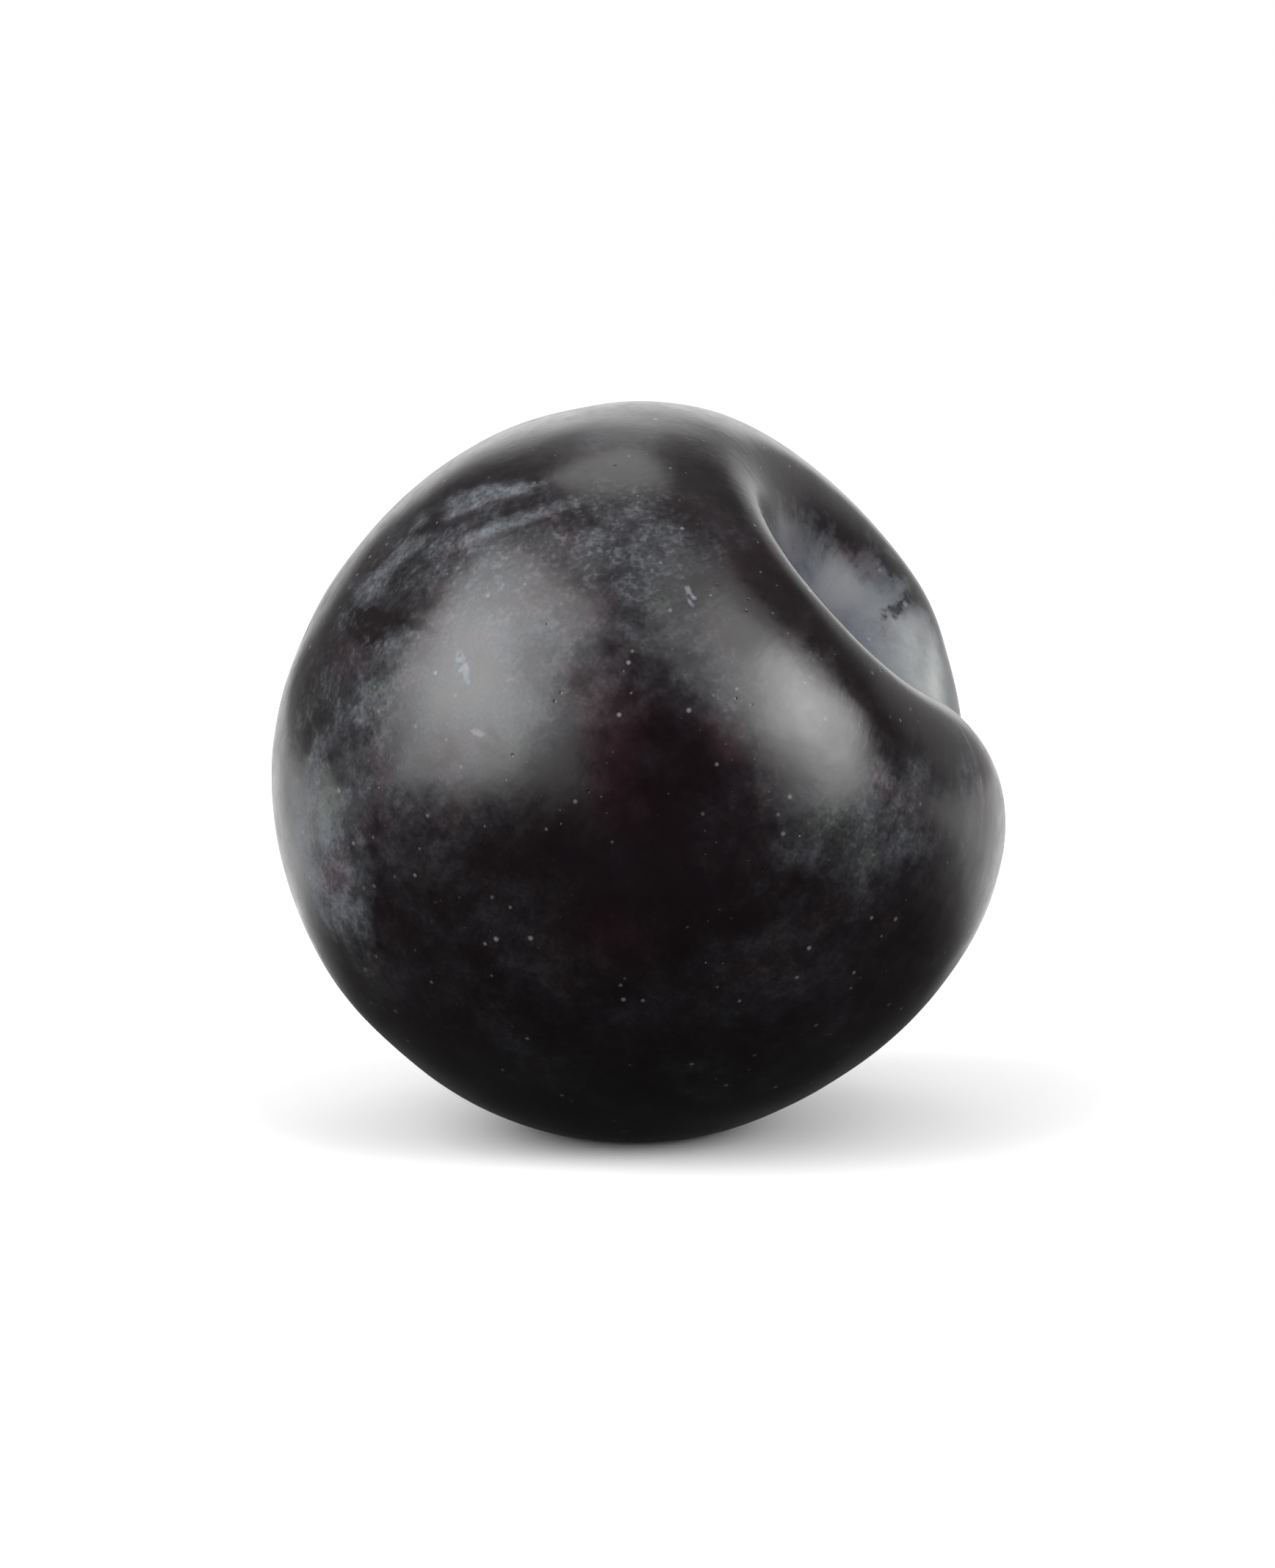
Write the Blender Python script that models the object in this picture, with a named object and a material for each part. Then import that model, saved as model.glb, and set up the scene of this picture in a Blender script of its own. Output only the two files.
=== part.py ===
"""A ripe dark plum, lying tipped over on the small flat spot that its own weight has pressed.

The fruit is one closed solid. It is worked out upright first, with its stem end at +Z, its tip at -Z and its
seam along +X: a ball a little fuller than an ellipse, a deep stem hollow, a furrow along the seam and a valley where
the seam cuts through the hollow's lip. Then it is turned to the way it lies, and its underside is pressed flat.
The origin is on the flat spot, straight below the middle of the fruit.
"""

from math import acos, atan2, cos, exp, pi, radians, sin, tan

import bmesh
import bpy
from mathutils import Matrix, Vector

# The body, in metres
EQUATOR_RADIUS = 0.0310
STEM_END_HEIGHT = 0.0303  # middle to stem end, measured before the hollow is pushed in
TIP_HEIGHT = 0.0321  # middle to tip
FULLNESS = 2.10  # 2 gives an ellipse, more gives squarer shoulders

# The stem hollow: a bell-shaped pit around the upright axis
HOLLOW_DEPTH = 0.0130
HOLLOW_RADIUS = 0.0102
HOLLOW_POWER = 1.7  # 2 gives a round bottom, less a more pointed one

# The seam's valley: it comes up out of the hollow, cuts through its lip and runs out below it
VALLEY_DEPTH = 0.0049
VALLEY_HALF_WIDTH = 0.0086
VALLEY_RISE = radians(17)  # from the stem end, over which it deepens
VALLEY_END = radians(32)  # where it begins to run out
VALLEY_FADE = radians(20)  # how far it takes to do so

# The seam's furrow, from the lip to the tip
FURROW_DEPTH = 0.0007
FURROW_HALF_WIDTH = 0.0050
FURROW_START = radians(17)
FURROW_RISE = radians(29)  # how far it takes to reach its depth

# The way it lies
STEM_LEAN = radians(48.2)  # stem end, from upright
STEM_HEADING = radians(-18.7)  # where the stem end leans to, from +X
SEAM_TURN = radians(42.5)  # seam, round the stem from the side it leans to

# The flat spot
PRESS_DEPTH = 0.00075
PRESS_BLEND = 0.00025  # half the height over which the flat rounds into the body

# The mesh: a cube's six faces, blown up to a ball
CELLS_PER_SIDE = 30
RING_GATHER = 0.28  # how much closer the rings lie at the stem end and the tip than at the middle

SKIN_COLOUR = (0.020, 0.012, 0.018, 1.0)
SKIN_ROUGHNESS = 0.38


def ball_mesh():
    """A unit ball of quads, with a vertex at each end of the Z axis and an edge loop along the seam."""
    mesh = bmesh.new()
    bmesh.ops.create_cube(mesh, size=2.0)
    bmesh.ops.subdivide_edges(mesh, edges=mesh.edges[:], cuts=CELLS_PER_SIDE - 1, use_grid_fill=True)
    for vertex in mesh.verts:
        vertex.co = Vector(tan(value * pi / 4) for value in vertex.co).normalized()
    return mesh


def plum_point(direction):
    """The point of the upright plum's skin that belongs to a direction from its middle."""
    around = atan2(direction.y, direction.x)
    down = acos(max(-1.0, min(1.0, direction.z)))
    down -= RING_GATHER * sin(2 * down) / 2

    outward = sin(down)
    upward = cos(down)
    end_height = STEM_END_HEIGHT if upward > 0 else TIP_HEIGHT
    fullness_sum = (outward / EQUATOR_RADIUS) ** FULLNESS + (abs(upward) / end_height) ** FULLNESS
    distance = fullness_sum ** (-1 / FULLNESS)

    from_seam = distance * outward * 2 * sin(around / 2)
    valley = VALLEY_DEPTH * exp(-((from_seam / VALLEY_HALF_WIDTH) ** 2))
    valley *= 1 - exp(-((down / VALLEY_RISE) ** 2))
    valley *= exp(-((max(0.0, down - VALLEY_END) / VALLEY_FADE) ** 2))
    furrow = FURROW_DEPTH * exp(-((abs(from_seam) / FURROW_HALF_WIDTH) ** 1.5))
    furrow *= max(0.0, min(1.0, (down - FURROW_START) / FURROW_RISE))
    distance_in_seam = distance - valley - furrow

    radius = distance_in_seam * outward
    height = distance_in_seam * upward
    if upward > 0:
        height -= HOLLOW_DEPTH * exp(-((distance * outward / HOLLOW_RADIUS) ** HOLLOW_POWER))
    return Vector((radius * cos(around), radius * sin(around), height))


def pressed(height):
    """A height above the ground, once the flat spot is pressed."""
    if height > PRESS_BLEND:
        return height
    if height < -PRESS_BLEND:
        return 0.0
    return (height + PRESS_BLEND) ** 2 / (4 * PRESS_BLEND)


def lay_down(mesh):
    """Turns the upright plum to the way it lies, and presses its flat spot into the ground at z = 0."""
    turn = Matrix.Rotation(STEM_HEADING, 3, "Z") @ Matrix.Rotation(STEM_LEAN, 3, "Y")
    turn = turn @ Matrix.Rotation(SEAM_TURN, 3, "Z")
    for vertex in mesh.verts:
        vertex.co = turn @ vertex.co
    ground = min(vertex.co.z for vertex in mesh.verts) + PRESS_DEPTH
    for vertex in mesh.verts:
        vertex.co.z = pressed(vertex.co.z - ground)


def skin_material():
    material = bpy.data.materials.new("plum_skin")
    material.use_nodes = True
    shader = material.node_tree.nodes["Principled BSDF"]
    shader.inputs["Base Color"].default_value = SKIN_COLOUR
    shader.inputs["Roughness"].default_value = SKIN_ROUGHNESS
    shader.inputs["Metallic"].default_value = 0.0
    material.diffuse_color = SKIN_COLOUR
    return material


def build_plum():
    mesh = ball_mesh()
    for vertex in mesh.verts:
        vertex.co = plum_point(vertex.co)
    lay_down(mesh)
    bmesh.ops.recalc_face_normals(mesh, faces=mesh.faces[:])

    data = bpy.data.meshes.new("plum")
    mesh.to_mesh(data)
    mesh.free()
    data.shade_smooth()
    data.materials.append(skin_material())
    plum = bpy.data.objects.new("plum", data)
    bpy.context.scene.collection.objects.link(plum)


for existing in list(bpy.data.objects):
    bpy.data.objects.remove(existing, do_unlink=True)
build_plum()
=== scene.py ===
from math import atan2, cos, exp, hypot, pi, radians, sin
from types import SimpleNamespace

import bmesh
import bpy
from mathutils import Matrix, Vector, noise


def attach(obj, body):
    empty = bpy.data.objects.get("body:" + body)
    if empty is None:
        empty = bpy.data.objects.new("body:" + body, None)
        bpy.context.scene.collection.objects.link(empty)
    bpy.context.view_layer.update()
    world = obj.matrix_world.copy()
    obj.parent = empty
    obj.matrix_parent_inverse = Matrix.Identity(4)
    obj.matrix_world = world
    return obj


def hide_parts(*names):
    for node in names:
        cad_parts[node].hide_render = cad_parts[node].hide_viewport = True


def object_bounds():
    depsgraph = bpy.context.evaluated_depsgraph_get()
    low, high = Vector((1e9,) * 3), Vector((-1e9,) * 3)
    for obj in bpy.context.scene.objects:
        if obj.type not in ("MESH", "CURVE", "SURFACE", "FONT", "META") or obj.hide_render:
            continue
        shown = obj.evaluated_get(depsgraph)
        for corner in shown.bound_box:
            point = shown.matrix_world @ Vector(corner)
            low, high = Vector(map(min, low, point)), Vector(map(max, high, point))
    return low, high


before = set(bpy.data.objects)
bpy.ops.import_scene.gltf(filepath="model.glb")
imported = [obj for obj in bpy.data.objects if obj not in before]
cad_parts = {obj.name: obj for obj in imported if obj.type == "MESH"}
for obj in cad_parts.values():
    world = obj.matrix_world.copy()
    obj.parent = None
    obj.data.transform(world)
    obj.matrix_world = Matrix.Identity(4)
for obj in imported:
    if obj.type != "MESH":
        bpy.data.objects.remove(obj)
cadLow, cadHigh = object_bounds()
mm = 0.001
print("frame loaded:", len(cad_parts), "node")

# The way the fruit lies. Upright, its stem end is at +Z, its tip at -Z and its seam along +X.
lie = {
    "middle": (0, 0, cadHigh.z - 31.05 * mm),  # measured down from its top
    "stemLean": 48.2,  # degrees from upright
    "stemHeading": -18.7,  # degrees round Z, from +X
    "seamTurn": 42.5,  # degrees round the stem, from the side it leans to
}
turn = Matrix.Rotation(radians(lie["stemHeading"]), 4, "Z")
turn = turn @ Matrix.Rotation(radians(lie["stemLean"]), 4, "Y")
turn = turn @ Matrix.Rotation(radians(lie["seamTurn"]), 4, "Z")
toWorld = Matrix.Translation(lie["middle"]) @ turn
toUpright = toWorld.inverted()


def bump(value, middle, width):
    return exp(-(((value - middle) / width) ** 2))


def smoothStep(low, high, value):
    t = max(0.0, min(1.0, (value - low) / (high - low)))
    return t * t * (3 - 2 * t)


# Modelled skin: lengths in mm, on the upright fruit
skinShape = {
    "levels": 2,
    "flatRings": (1.2, 1.2, 1.2),  # steps inwards from the edge of the flat spot
    "calmFrom": 0.2,  # heights above the ground between which the unevenness sets in
    "calmTo": 3.0,
    "finerStem": 4.2,  # smaller faces this far round the stem scar and the tip scar
    "finerTip": 2.4,
    "inset": 0.12,  # keeps the uneven skin inside the planned outline
    "swell": 0.16,  # slow unevenness of the whole fruit
    "swellLength": 15.0,
    "swellStart": Vector((3, 1, 4)),  # another start puts the swellings elsewhere
    "ripple": 0.11,  # quicker unevenness
    "rippleLength": 6.5,
    "crease": 0.10,  # the seam's own fine line
    "creaseWidth": 0.45,
    "creaseFrom": 4.0,  # it fades in between these distances from the stem
    "creaseTo": 9.0,
    "endHeight": 8.0,  # the stem end and the tip end lie beyond this
    "folds": 0.05,  # folds running down the wall of the stem hollow
    "foldReach": 15.0,
    "foldMiddle": 6.0,
    "foldWidth": 4.0,
    "scarReach": 5.0,
    "scarRadius": 1.9,  # where the stalk came off
    "scarRagged": 0.22,  # share of the radius
    "scarRing": 0.30,
    "scarRingWidth": 0.35,
    "scarPit": 0.75,
    "scarTorn": 0.25,
    "scarEdge": 0.7,
    "tipReach": 4.0,
    "tipRadius": 0.9,  # the dry tip scar
    "tipEdge": 0.25,
    "tipRise": 0.16,
    "tipRough": 0.06,
}


def plumBody():
    # the planned solid as quads, with its flat spot closed by rings
    mesh = bmesh.new()
    mesh.from_mesh(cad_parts["plum"].data)
    tiny = 0.001 * mm
    bmesh.ops.remove_doubles(mesh, verts=mesh.verts[:], dist=tiny)

    flat = [face for face in mesh.faces if max(vert.co.z for vert in face.verts) < tiny]
    bmesh.ops.join_triangles(
        mesh,
        faces=[face for face in mesh.faces if face not in flat],
        angle_face_threshold=radians(60),
        angle_shape_threshold=radians(60),
    )
    spot = bmesh.ops.dissolve_faces(mesh, faces=flat)["region"]
    for width in skinShape["flatRings"]:
        bmesh.ops.inset_region(mesh, faces=spot, thickness=width * mm)
    bmesh.ops.poke(mesh, faces=spot)

    body = bpy.data.meshes.new("plumBody")
    mesh.to_mesh(body)
    mesh.free()
    return body


def rounded(body):
    piece = bpy.data.objects.new("rounding", body)
    bpy.context.scene.collection.objects.link(piece)
    smooth = piece.modifiers.new("smooth", "SUBSURF")
    smooth.levels = smooth.render_levels = skinShape["levels"]
    result = bpy.data.meshes.new_from_object(piece.evaluated_get(bpy.context.evaluated_depsgraph_get()))
    bpy.data.objects.remove(piece)
    return result


def finerEnds(mesh):
    near = []
    for face in mesh.faces:
        place = toUpright @ face.calc_center_median() / mm
        reach = skinShape["finerStem"] if place.z > 0 else skinShape["finerTip"]
        if hypot(place.x, place.y) < reach:
            near.append(face)
    edges = dict.fromkeys(edge for face in near for edge in face.edges)
    bmesh.ops.subdivide_edges(mesh, edges=list(edges), cuts=1, smooth=0.0, use_grid_fill=True)


def carved(place):
    # how far the skin stands out at a place on the upright fruit
    shape = skinShape
    around = atan2(place.y, place.x)
    heading = Vector((cos(around), sin(around), 0))
    out = hypot(place.x, place.y)
    swell = noise.fractal(place / shape["swellLength"] + shape["swellStart"], 1.0, 2.0, 2)
    ripple = noise.noise(place / shape["rippleLength"])
    offset = shape["swell"] * swell + shape["ripple"] * ripple - shape["inset"]

    seam = bump(out * sin(around), 0, shape["creaseWidth"]) if abs(around) < pi / 2 else 0
    offset -= shape["crease"] * seam * smoothStep(shape["creaseFrom"], shape["creaseTo"], out)

    atStem = place.z > shape["endHeight"]
    atTip = place.z < -shape["endHeight"]
    if atStem and out < shape["foldReach"]:
        fold = noise.noise((heading + Vector((0, 0, place.z / 30))) * 5)
        offset += shape["folds"] * fold * bump(out, shape["foldMiddle"], shape["foldWidth"])
    if atStem and out < shape["scarReach"]:
        scar = shape["scarRadius"] * (1 + shape["scarRagged"] * noise.noise(heading * 2.2))
        offset += shape["scarRing"] * bump(out, scar, shape["scarRingWidth"])
        torn = noise.fractal(place * 1.6, 0.8, 2.2, 3)
        pit = shape["scarPit"] + shape["scarTorn"] * torn
        offset -= pit * smoothStep(scar, scar - shape["scarEdge"], out)
    if atTip and out < shape["tipReach"]:
        radius, edge = shape["tipRadius"], shape["tipEdge"]
        scab = smoothStep(radius + edge, radius - edge, out)
        offset += scab * (shape["tipRise"] + shape["tipRough"] * noise.noise(place * 3.0))
    return offset * mm


def plumMesh():
    mesh = bmesh.new()
    mesh.from_mesh(rounded(plumBody()))
    finerEnds(mesh)
    mesh.normal_update()
    moves = []
    for vert in mesh.verts:
        place = toUpright @ vert.co / mm
        share = smoothStep(skinShape["calmFrom"], skinShape["calmTo"], vert.co.z / mm)
        moves.append(vert.normal * carved(place) * share)
    for vert, move in zip(mesh.verts, moves):
        vert.co += move
    data = bpy.data.meshes.new("plumSkin")
    mesh.to_mesh(data)
    mesh.free()
    data.shade_smooth()
    return data


# Shader maths: a wire is one value in a material, and its sums make their own nodes
class Wire:
    tree = None

    def __init__(self, socket):
        self.socket = socket

    @classmethod
    def node(cls, kind, settings=None, inputs=None, output=0):
        made = cls.tree.nodes.new(kind)
        for name, value in (settings or {}).items():
            setattr(made, name, value)
        for name, value in (inputs or {}).items():
            if isinstance(value, Wire):
                cls.tree.links.new(value.socket, made.inputs[name])
            elif isinstance(value, tuple) and len(value) == 3 and made.inputs[name].type == "RGBA":
                made.inputs[name].default_value = (*value, 1)
            else:
                made.inputs[name].default_value = value
        return cls(made.outputs[output]) if made.outputs else None

    @classmethod
    def maths(cls, operation, *values):
        return cls.node("ShaderNodeMath", {"operation": operation}, dict(enumerate(values)))

    def __add__(self, other):
        return self.maths("ADD", self, other)

    def __sub__(self, other):
        return self.maths("SUBTRACT", self, other)

    def __rsub__(self, other):
        return self.maths("SUBTRACT", other, self)

    def __mul__(self, other):
        return self.maths("MULTIPLY", self, other)

    def __truediv__(self, other):
        return self.maths("DIVIDE", self, other)

    def __pow__(self, other):
        return self.maths("POWER", self, other)

    __radd__ = __add__
    __rmul__ = __mul__


def step(value, low, high):
    # 0 at low, 1 at high, smooth between them
    settings = {"interpolation_type": "SMOOTHSTEP"}
    return Wire.node("ShaderNodeMapRange", settings, {"Value": value, "From Min": low, "From Max": high})


def blend(share, first, second):
    settings = {"data_type": "RGBA"}
    return Wire.node("ShaderNodeMix", settings, {0: share, 6: first, 7: second}, 2)


def mixed(share, first, second):
    return Wire.node("ShaderNodeMix", {}, {0: share, 2: first, 3: second})


def cloud(place, size, detail=2.0, roughness=0.5, output=0):
    # noise with features about size mm across, from 0 to 1
    inputs = {"Vector": place, "Scale": 1 / size, "Detail": detail, "Roughness": roughness}
    return Wire.node("ShaderNodeTexNoise", {}, inputs, output)


def components(vector):
    split = Wire.node("ShaderNodeSeparateXYZ", inputs={0: vector})
    return [Wire(socket) for socket in split.socket.node.outputs]


# Skin finish. A spot is: degrees round from the seam, degrees down from the stem end, half its
# length and half its width in mm, its tilt from the line to the tip, and how strong it is.
skin = {
    "black": (0.0036, 0.0013, 0.0023),
    "wine": (0.0150, 0.0040, 0.0062),
    "bloomBlue": (0.244, 0.270, 0.300),
    "bloomMauve": (0.300, 0.262, 0.290),
    "bloomGreen": (0.250, 0.285, 0.275),
    "hollowBlue": (0.094, 0.105, 0.130),
    "hollowPale": (0.235, 0.244, 0.246),
    "hollowEndAndRimLight": (0.380, 0.390, 0.385),  # where the seam runs out of the hollow: pale bloom, made paler still as a painted highlight of rim light on the notch
    "pore": (0.22, 0.21, 0.20),
    "dry": (0.120, 0.078, 0.045),
    "gloss": 0.21,  # roughness of bare skin
    "bloomGloss": 0.40,  # what full bloom adds
    "rimGloss": -0.09,  # what the polished rim of the hollow adds
    "dryGloss": 0.4,  # what dry skin adds
    "refraction": 1.47,
    "sheen": 0.06,
    "sheenRoughness": 0.22,
    "patchSize": 9.0,  # sizes of the unevenness, in mm
    "tintSize": 6.0,
    "mottleSize": 2.4,
    "grainSize": 0.75,
    "fleckSize": 0.5,
    "dustSize": 0.30,
    "raggedSize": 3.2,  # on the edges of patches
    "tornSize": 0.9,  # on the edges of marks
    "poreSpacing": 1.2,
    "lineWidth": 1 / 30,  # of the lines in the hollow, as a share of their distance from the stem
    "linePull": 2.0,
    "mottleHeight": 0.02,  # relief, in mm
    "grainHeight": 0.004,
    "poreHeight": 0.008,
    "pitDepth": 0.03,
    "lineHeight": 0.011,
    "spotRadius": 31.0,  # spots are placed on a ball this big, in mm
    "spotDepth": 8.0,  # and reach this much further in and out than they are long
    "wineSpots": [
        (-134, 72, 8.0, 2.4, 54, 0.6),
        (-122, 59, 2.6, 1.6, 90, 0.6),
        (-47, 43, 3.2, 2.6, 8, 0.8),
        (-109, 93, 3.6, 3.0, 90, 0.35),
        (-174, 101, 4.0, 2.0, -50, 0.5),
        (-51, 44, 3.0, 1.2, 13, 0.7),
        (-147, 96, 2.8, 1.8, -39, 0.5),
        (60, 95, 9.0, 6.0, 20, 0.6),
        (110, 60, 7.0, 4.0, 60, 0.5),
    ],
    "bloomSpots": [
        (-163, 90, 14.0, 10.0, 0, 0.11),
        (174, 73, 4.6, 1.9, -29, 0.32),
        (-176, 69, 4.4, 1.0, -8, 0.24),
        (175, 87, 3.6, 1.2, -5, 0.20),
        (177, 94, 3.4, 1.5, -67, 0.16),
        (-152, 82, 9.5, 7.0, -39, 0.15),
        (-161, 54, 6.0, 3.4, -12, 0.10),
        (-147, 56, 5.0, 4.2, 79, 0.08),
        (-130, 57, 4.5, 2.6, 72, 0.08),
        (158, 48, 9.0, 3.0, 80, 0.05),
        (-89, 55, 8.0, 4.5, -50, 0.11),
        # pale haze low on the left: bloom, and partly a painted reflection of the pale floor and room
        # behind
        (-154, 126, 8.0, 4.8, 52, 0.29),
        (-118, 102, 5.5, 4.0, 86, 0.03),
        (-58, 46, 6.0, 2.0, 14, 0.10),
        (-55, 41, 4.6, 0.5, 9, 0.15),
        (7, 34, 5.0, 1.8, 12, 0.35),
        (60, 70, 12.0, 8.0, 30, 0.16),
        (130, 100, 11.0, 7.0, -40, 0.15),
        (20, 110, 10.0, 8.0, 60, 0.11),
    ],
    "fleckSpots": [
        (-163, 57, 11.0, 7.0, 0, 0.13),
        (-172, 92, 14.0, 8.0, 0, 0.12),
        (-130, 52, 6.0, 3.5, 60, 0.06),
        (60, 75, 12.0, 9.0, 30, 0.12),
    ],
    "rubbedSpots": [
        (-174, 90, 5.0, 2.4, -40, 0.75),
        (-177, 103, 4.6, 2.2, -63, 0.5),
        (178, 71, 5.0, 0.7, -18, 0.7),
        (-118, 82, 13.0, 9.0, 50, 0.85),
        (-122, 64, 5.0, 3.0, 60, 0.7),
        (-139, 37, 6.0, 4.5, 60, 0.9),
        (-173, 38, 6.0, 4.0, 70, 0.8),
        (-105, 38, 6.0, 4.5, 90, 0.8),
        (95, 85, 9.0, 6.0, 20, 0.8),
    ],
    "paleMarks": [  # scratches and fine wrinkles where the skin has dried
        (-145.5, 50, 1.7, 0.28, 74, 0.42),
        (-157, 84.5, 1.8, 0.5, 80, 0.7),
        (-150, 79, 1.4, 0.4, 20, 0.4),
        (-147, 88, 0.9, 0.3, -60, 0.6),
        (33.5, 28.6, 0.8, 0.4, -64, 0.55),
    ],
    "darkMarks": [
        (-177, 94.5, 4.2, 0.9, -49, 1.0),
        (-169, 88, 2.2, 0.5, -55, 1.0),
        (-178, 99, 2.4, 0.45, -70, 0.9),
        (-174.5, 96, 2.0, 0.45, -68, 0.9),
        (-173, 95, 1.4, 0.4, -13, 0.9),
        (-145, 86, 0.8, 0.30, -85, 0.8),
        (34, 27, 2.0, 0.6, 22, 0.75),
        (-99.5, 40, 0.6, 0.40, 84, 1.0),
    ],
}


def spotMask(place, ragged, around, down, length, width, tilt, share):
    # its full share in the middle of a spot and 0 outside it, with a ragged edge
    around, down = radians(around), radians(down)
    out = Vector((sin(down) * cos(around), sin(down) * sin(around), cos(down)))
    toTip = Vector((cos(down) * cos(around), cos(down) * sin(around), -sin(down)))
    side = out.cross(toTip)
    along = toTip * cos(radians(tilt)) + side * sin(radians(tilt))
    axes = Matrix((along, out.cross(along), out)).transposed()
    settings = {"vector_type": "TEXTURE"}
    inputs = {
        "Vector": place,
        "Location": tuple(out * skin["spotRadius"]),
        "Rotation": tuple(axes.to_euler()),
        "Scale": (length, width, length + skin["spotDepth"]),
    }
    local = Wire.node("ShaderNodeMapping", settings, inputs)
    gap = Wire.node("ShaderNodeVectorMath", {"operation": "LENGTH"}, {0: local}, "Value")
    return step(gap + ragged, 1.35, 0.5) * share


def hollowLines(place, down):
    # fine lines that run down into the stem hollow, pulled about a little
    pull = cloud(place, 5.0, 2.0, 0.5, "Color")
    inputs = {0: pull, 1: (skin["linePull"],) * 3, 2: place}
    pulled = Wire.node("ShaderNodeVectorMath", {"operation": "MULTIPLY_ADD"}, inputs)
    px, py = (part - skin["linePull"] / 2 for part in components(pulled)[:2])
    out = (px * px + py * py + 0.01) ** 0.5
    ring = Wire.node("ShaderNodeCombineXYZ", inputs={0: px / out, 1: py / out, 2: down * 0.13})
    return cloud(ring, skin["lineWidth"], 3.0, 0.6)


def skinFields():
    # what the layers of the skin share: the place on the upright fruit in mm, and the noises
    coords = Wire.node("ShaderNodeTexCoord", output="Object")
    inputs = {
        "Vector": coords,
        "Location": lie["middle"],
        "Rotation": tuple(turn.to_euler()),
        "Scale": (mm,) * 3,
    }
    place = Wire.node("ShaderNodeMapping", {"vector_type": "TEXTURE"}, inputs)
    x, y, z = components(place)
    out = (x * x + y * y) ** 0.5
    down = Wire.maths("ARCTAN2", out, z)
    return SimpleNamespace(
        place=place,
        x=x,
        z=z,
        out=out,
        stemEnd=step(z, 8.0, 12.0),
        tipEnd=step(z, -8.0, -12.0),
        mottle=cloud(place, skin["mottleSize"], 3.0, 0.55),
        grain=cloud(place, skin["grainSize"], 1.5, 0.5),
        dust=cloud(place, skin["dustSize"], 1.0, 0.5),
        ragged=(cloud(place, skin["raggedSize"], 3.0, 0.5) - 0.5) * 1.6,
        torn=(cloud(place, skin["tornSize"], 3.0, 0.6) - 0.5) * 2.8,
        lines=hollowLines(place, down),
        lineShare=step(down, radians(78), radians(35)),
    )


def bloomCover(at):
    # broad patches with mottling, a suede-like grain and paler flecks, then rubbed places
    cover = step(cloud(at.place, skin["patchSize"], 3.0, 0.6), 0.35, 0.75) * 0.04 + 0.004
    for *spot, level in skin["bloomSpots"]:
        cover = mixed(spotMask(at.place, at.ragged, *spot, 1.0), cover, level)
    texture = 0.55 + 0.8 * step(at.mottle, 0.30, 0.70)
    texture = texture * (0.75 + 0.5 * step(at.grain, 0.25, 0.75))
    texture = texture * (0.75 + 0.5 * step(at.dust, 0.25, 0.75))
    texture = texture * mixed(at.lineShare, 1.0, 0.6 + 0.8 * step(at.lines, 0.3, 0.7))
    cover = cover * texture

    flecks = step(cloud(at.place, skin["fleckSize"], 1.2, 0.5), 0.42, 0.80)
    flecks = flecks * (0.3 + step(at.mottle, 0.35, 0.65))
    fleckShare = 0.012
    for spot in skin["fleckSpots"]:
        fleckShare = fleckShare + spotMask(at.place, at.ragged, *spot)
    cover = cover + flecks * fleckShare
    for spot in skin["rubbedSpots"]:
        cover = cover * (1 - spotMask(at.place, at.ragged, *spot))
    return cover


def hollowBloom(at):
    # the hollow keeps its bloom, fading under the lip and a little way out along the seam
    alongSeam = step(at.x / at.out, 0.80, 0.99)
    uneven = (at.grain - 0.5) * 2.0
    reach = at.out - alongSeam * 7.0 + (at.mottle - 0.5) * 6.0 + uneven
    edge = at.z + (at.lines - 0.5) * 1.8 + (at.mottle - 0.5) * 4.0 + uneven
    edge = edge - alongSeam * 1.5 - step(at.x, 3.0, 7.0)
    inHollow = step(reach, 17.5, 8.0) * at.stemEnd * step(edge, 24.1, 20.3)
    thick = 0.50 + 0.40 * step(at.x, 3.0, 12.0) + (at.mottle - 0.5) * 0.5 + (at.lines - 0.5) * 0.15
    thick = thick + (at.dust - 0.5) * 0.2 + (at.grain - 0.5) * 0.25
    return inHollow, thick * inHollow


def marked(at, cover):
    # dark marks have lost their bloom, and scratches are paler than it
    for mark in skin["darkMarks"]:
        cover = cover * (1 - spotMask(at.place, at.torn, *mark))
    for mark in skin["paleMarks"]:
        scratch = spotMask(at.place, at.torn * 0.6, *mark) * step(at.grain, 0.35, 0.6)
        cover = Wire.maths("MAXIMUM", cover, scratch)
    return cover


def bareColour(at):
    # under the bloom: near black, with wine-coloured places
    wine = step(cloud(at.place, skin["patchSize"], 3.0, 0.6), 0.52, 0.75) * 0.30
    for spot in skin["wineSpots"]:
        wine = Wire.maths("MAXIMUM", wine, spotMask(at.place, at.ragged, *spot))
    wine = wine * (0.35 + 0.9 * step(at.mottle, 0.3, 0.7))
    return blend(wine, skin["black"], skin["wine"])


def bloomColour(at, inHollow):
    tint = cloud(at.place, skin["tintSize"], 3.0, 0.6)
    bloom = blend(step(tint, 0.52, 0.66), skin["bloomBlue"], skin["bloomMauve"])
    bloom = blend(step(tint, 0.46, 0.34), bloom, skin["bloomGreen"])
    hollow = blend(step(at.x, 4.0, 13.0), skin["hollowBlue"], skin["hollowPale"])
    # paler still at the seam's end of the hollow: real bloom, partly a painted highlight where the notch
    # catches rim light
    hollow = blend(step(at.x, 13.0, 16.0) * step(at.out, 18.5, 16.0), hollow, skin["hollowEndAndRimLight"])
    return blend(inHollow, bloom, hollow)


def drySkin(at):
    # brown skin where the stalk came off, and at the tip
    stemScar = step(at.out + at.ragged, 2.3, 1.3) * at.stemEnd
    tipScar = step(at.out + at.ragged * 0.5, 1.3, 0.6) * at.tipEnd
    return Wire.maths("MAXIMUM", stemScar, tipScar) * 0.85


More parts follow.
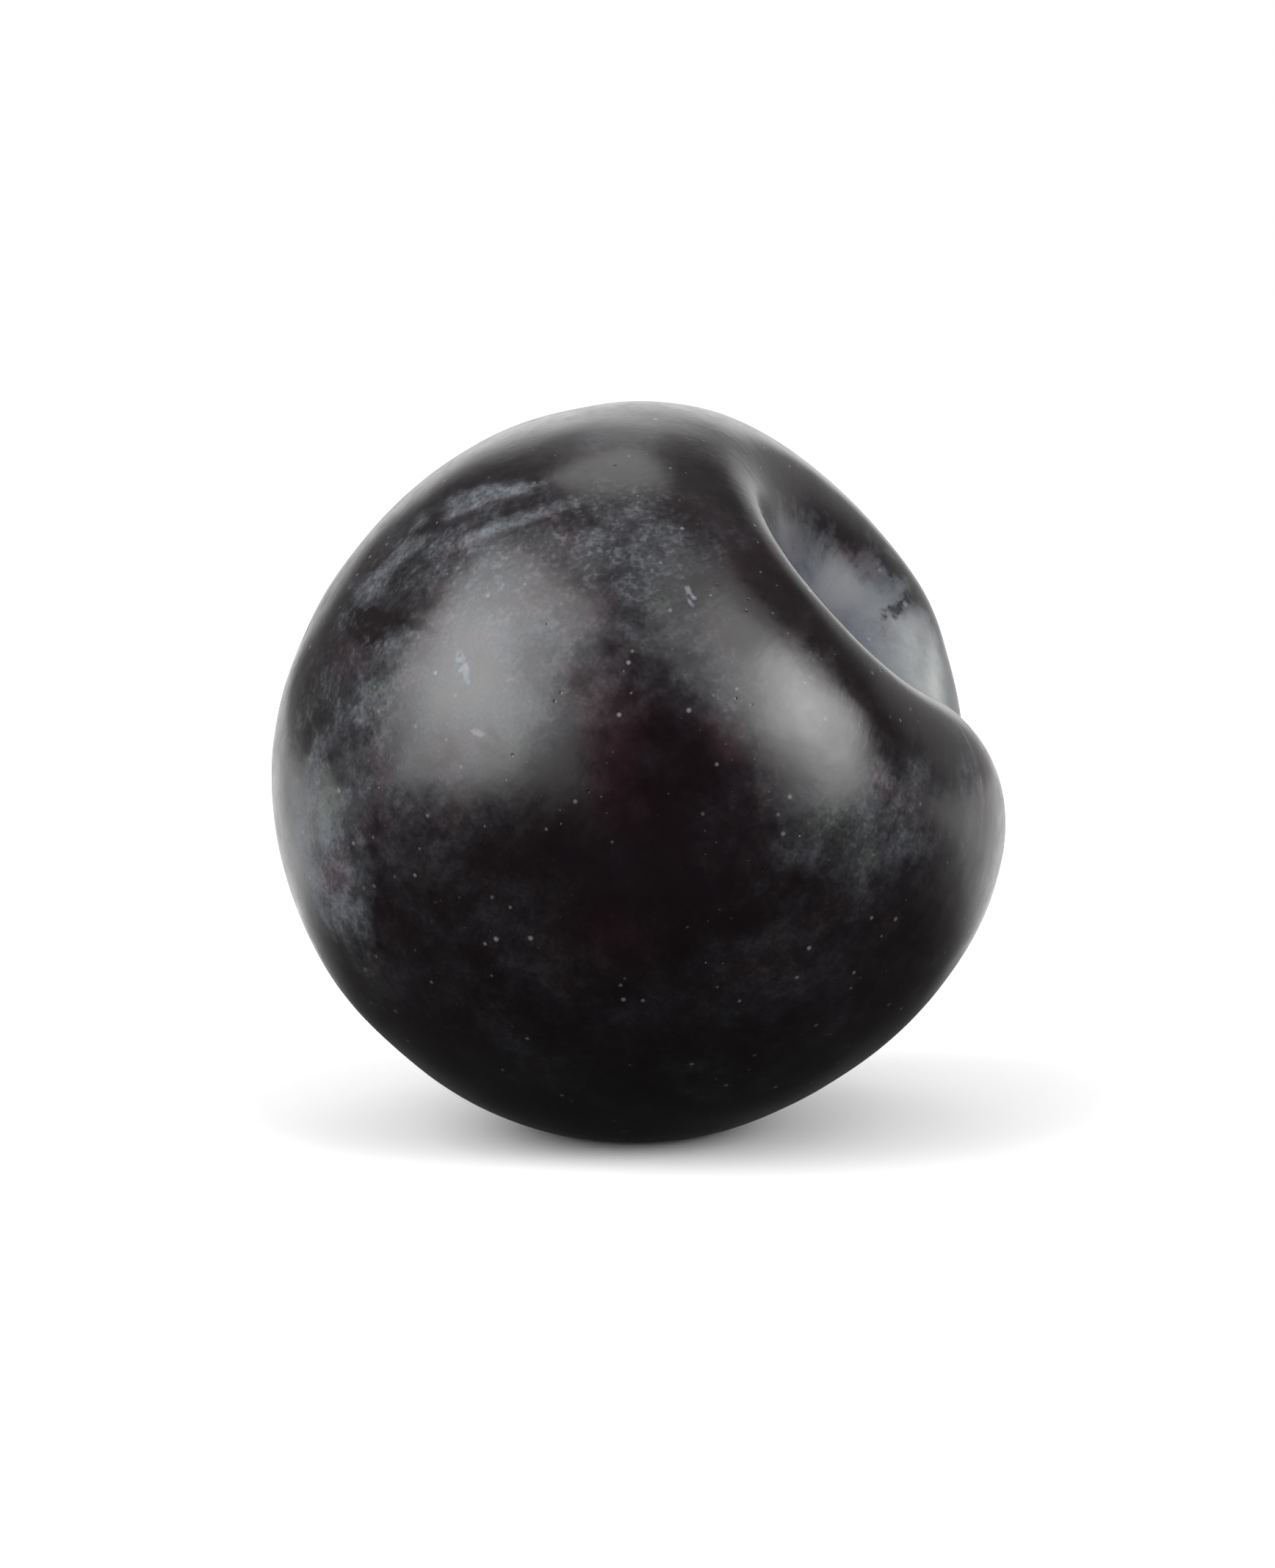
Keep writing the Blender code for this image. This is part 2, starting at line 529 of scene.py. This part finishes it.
def poresAndPits(at):
    # pores are pale dots of many sizes, and here and there is a fine pit
    inputs = {"Vector": at.place, "Scale": 1 / skin["poreSpacing"]}
    cells = Wire.node("ShaderNodeTexVoronoi", {}, inputs, "Distance")
    chance = Wire.node("ShaderNodeSeparateColor", inputs={0: Wire(cells.socket.node.outputs["Color"])})
    size = 0.04 + 0.11 * chance ** 4.0
    pore = step(cells, size * 1.7, size * 0.4) * (0.12 + 0.6 * chance ** 3.0)
    pore = pore * step(cloud(at.place, skin["patchSize"]), 0.3, 0.55)
    pit = step(cells, 0.14, 0.03) * step(chance, 0.16, 0.06)
    return pore, pit


def plumSkin():
    material = bpy.data.materials.new("plumSkin")
    material.use_nodes = True
    tree = Wire.tree = material.node_tree
    at = skinFields()
    inHollow, hollowCover = hollowBloom(at)
    cover = marked(at, Wire.maths("MAXIMUM", bloomCover(at), hollowCover))
    dry = drySkin(at)
    pore, pit = poresAndPits(at)

    colour = blend(cover, bareColour(at), bloomColour(at, inHollow))
    colour = blend(dry * (0.6 + 0.8 * at.grain), colour, skin["dry"])
    colour = blend(pore, colour, skin["pore"])

    rim = step(at.z, 24.2, 25.0) * step(at.out, 19.0, 15.0)
    rough = skin["gloss"] + skin["bloomGloss"] * cover + skin["rimGloss"] * rim + skin["dryGloss"] * dry
    rough = rough + (at.mottle - 0.5) * 0.2 + (at.grain - 0.5) * 0.1
    height = at.mottle * skin["mottleHeight"] + at.grain * skin["grainHeight"]
    height = height + at.lines * at.lineShare * skin["lineHeight"]
    height = height + pore * skin["poreHeight"] - pit * skin["pitDepth"]
    relief = Wire.node("ShaderNodeBump", {}, {"Strength": 1.0, "Distance": mm, "Height": height})

    shader = tree.nodes["Principled BSDF"]
    tree.links.new(colour.socket, shader.inputs["Base Color"])
    tree.links.new(rough.socket, shader.inputs["Roughness"])
    tree.links.new(relief.socket, shader.inputs["Normal"])
    shader.inputs["IOR"].default_value = skin["refraction"]
    shader.inputs["Sheen Weight"].default_value = skin["sheen"]
    shader.inputs["Sheen Roughness"].default_value = skin["sheenRoughness"]
    print("skin material:", len(tree.nodes), "nodes")
    return material


def makePlum():
    data = plumMesh()
    plum = bpy.data.objects.new("plumSkin", data)
    bpy.context.scene.collection.objects.link(plum)
    data.materials.clear()
    data.materials.append(plumSkin())
    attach(plum, "root")
    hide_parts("plum")
    print("plum:", sum(len(face.vertices) - 2 for face in data.polygons), "triangles")


# Camera, at the near side of the fruit
cameraSetup = {
    "elevation": 8.0,  # degrees above the horizon
    "distance": 0.45,
    "lens": 121.7,
    "sensor": 36,
    "aimDrop": 1.37 * mm,  # how far below the middle of the fruit it points
}


def makeCamera():
    rise = radians(cameraSetup["elevation"])
    back = Vector((0, -cos(rise), sin(rise)))
    up = Vector((0, sin(rise), cos(rise)))
    camera = bpy.data.objects.new("camera", bpy.data.cameras.new("camera"))
    camera.data.sensor_width = cameraSetup["sensor"]
    camera.data.lens = cameraSetup["lens"]
    aim = (cadLow + cadHigh) / 2 - up * cameraSetup["aimDrop"]
    camera.location = aim + back * cameraSetup["distance"]
    camera.rotation_mode = "QUATERNION"
    camera.rotation_quaternion = (-back).to_track_quat("-Z", "Y")
    bpy.context.scene.collection.objects.link(camera)
    bpy.context.scene.camera = camera


# Soft boxes, as panels one in front of another, so that each box fades to its edge: azimuth in
# degrees from the camera's side, positive to the right, elevation, width, height, brightness.
# A name that ends in Box is a rectangle, and the others are ellipses.
softBoxes = {
    "leftHalo": (-60, 34, 0.74, 0.96, 0.8),
    "leftLowBox": (-39, 9, 0.47, 0.44, 1.5),
    "leftBox": (-63, 31, 0.52, 0.62, 2.3),
    "leftInner": (-65, 32, 0.44, 0.48, 1.6),
    "leftCore": (-67, 31, 0.26, 0.30, 2.2),
    "rightHalo": (44, 42, 0.50, 0.76, 1.25),
    "rightUpper": (47, 37, 0.33, 0.44, 2.0),
    "rightBox": (59, 17, 0.38, 0.42, 2.1),
    "rightInner": (62, 20, 0.32, 0.38, 2.5),
    "rightCore": (63, 21, 0.20, 0.22, 3.4),
    "topGlow": (192, 70, 0.23, 0.19, 1.9),
}
boxDistance = 0.6
boxGap = 0.01  # how much nearer each panel is than the one before


def makeLights():
    for layer, (name, box) in enumerate(softBoxes.items()):
        azimuth, elevation, width, height, brightness = box
        light = bpy.data.lights.new(name, "AREA")
        square = name.endswith("Box")
        light.shape = "RECTANGLE" if square else "ELLIPSE"
        light.size, light.size_y = width, height
        light.energy = brightness * pi * width * height * (1 if square else pi / 4)
        side, rise = radians(azimuth), radians(elevation)
        out = Vector((sin(side) * cos(rise), -cos(side) * cos(rise), sin(rise)))
        lamp = bpy.data.objects.new(name, light)
        lamp.location = Vector(lie["middle"]) + out * (boxDistance - boxGap * layer)
        lamp.rotation_mode = "QUATERNION"
        lamp.rotation_quaternion = out.to_track_quat("Z", "Y")
        lamp.visible_camera = False
        bpy.context.scene.collection.objects.link(lamp)


# The room: how bright its sides look to the fruit. To the camera it is all white.
room = {
    "front": 0.06,
    "side": 0.18,
    "rightBack": 0.55,
    "back": 1.5,
    "backLow": 0.62,  # share of that, down at the horizon
    "overhead": 0.2,
}


def makeWorld():
    world = bpy.data.worlds.new("studio")
    bpy.context.scene.world = world
    world.use_nodes = True
    tree = Wire.tree = world.node_tree
    tree.nodes.clear()
    x, y, z = components(Wire.node("ShaderNodeTexCoord", output="Generated"))
    behind = y / (x * x + y * y + 0.01) ** 0.5 - 0.06 * step(z, 0.3, 0.7)  # near 1 straight behind
    light = mixed(step(y, -0.3, 0.4), room["front"], room["side"])  # the camera's side is the darkest
    rightBack = step(behind, 0.15, 0.55) * step(x, 0.0, 0.3) * step(z, 0.55, 0.35)
    light = mixed(rightBack, light, room["rightBack"])
    back = room["back"] * mixed(step(z, -0.05, 0.30), room["backLow"], 1.0)  # paler upwards
    light = mixed(step(behind, 0.86, 0.985) * step(z, 0.95, 0.75), light, back)
    light = light + room["overhead"] * step(z, 0.6, 0.95)

    white = (1.0, 1.0, 1.0)
    seen = Wire.node("ShaderNodeBackground", inputs={"Color": white})
    lit = Wire.node("ShaderNodeBackground", inputs={"Color": white, "Strength": light})
    looking = Wire.node("ShaderNodeLightPath", output="Is Camera Ray")
    mix = Wire.node("ShaderNodeMixShader", inputs={0: looking, 1: lit, 2: seen})
    Wire.node("ShaderNodeOutputWorld", inputs={"Surface": mix})


# The floor, in metres from the flat spot
floorSetup = {
    "radius": 1.5,
    "paper": 0.9,
    "glow": 1.0,  # lifts the floor to white away from the fruit
    "glowFrom": 0.01,
    "glowTo": 0.16,
    "mirrored": 0.05,  # how pale the floor near the fruit is in its reflections
    "farGlow": 1.1,  # the floor further back, in its reflections
    "farFrom": 0.03,
    "farTo": 0.09,
    "backFrom": -0.01,  # along Y
    "backTo": 0.07,
}


def floorPaper():
    material = bpy.data.materials.new("floorPaper")
    material.use_nodes = True
    tree = Wire.tree = material.node_tree
    tree.nodes.clear()
    setup = floorSetup
    place = Wire.node("ShaderNodeTexCoord", output="Object")
    y = components(place)[1]
    away = Wire.node("ShaderNodeVectorMath", {"operation": "LENGTH"}, {0: place}, "Value")
    glow = step(away, setup["glowFrom"], setup["glowTo"]) * setup["glow"]
    paper = Wire.node("ShaderNodeBsdfDiffuse", inputs={"Color": (setup["paper"],) * 3})
    shine = Wire.node("ShaderNodeEmission", inputs={"Strength": glow})
    seen = Wire.node("ShaderNodeAddShader", inputs={0: paper, 1: shine})
    dull = Wire.node("ShaderNodeBsdfDiffuse", inputs={"Color": (setup["mirrored"],) * 3})
    far = step(away, setup["farFrom"], setup["farTo"]) * step(y, setup["backFrom"], setup["backTo"])
    farShine = Wire.node("ShaderNodeEmission", inputs={"Strength": far * setup["farGlow"]})
    mirrored = Wire.node("ShaderNodeAddShader", inputs={0: dull, 1: farShine})
    looking = Wire.node("ShaderNodeLightPath", output="Is Camera Ray")
    mix = Wire.node("ShaderNodeMixShader", inputs={0: looking, 1: mirrored, 2: seen})
    Wire.node("ShaderNodeOutputMaterial", inputs={"Surface": mix})
    return material


def makeFloor():
    mesh = bmesh.new()
    bmesh.ops.create_circle(mesh, cap_ends=True, segments=96, radius=floorSetup["radius"])
    data = bpy.data.meshes.new("floor")
    mesh.to_mesh(data)
    mesh.free()
    data.materials.append(floorPaper())
    floor = bpy.data.objects.new("floor", data)
    bpy.context.scene.collection.objects.link(floor)


makePlum()
makeCamera()
makeLights()
makeWorld()
makeFloor()
bpy.context.scene.view_settings.view_transform = "Standard"
print("studio: camera, lights, world and floor")
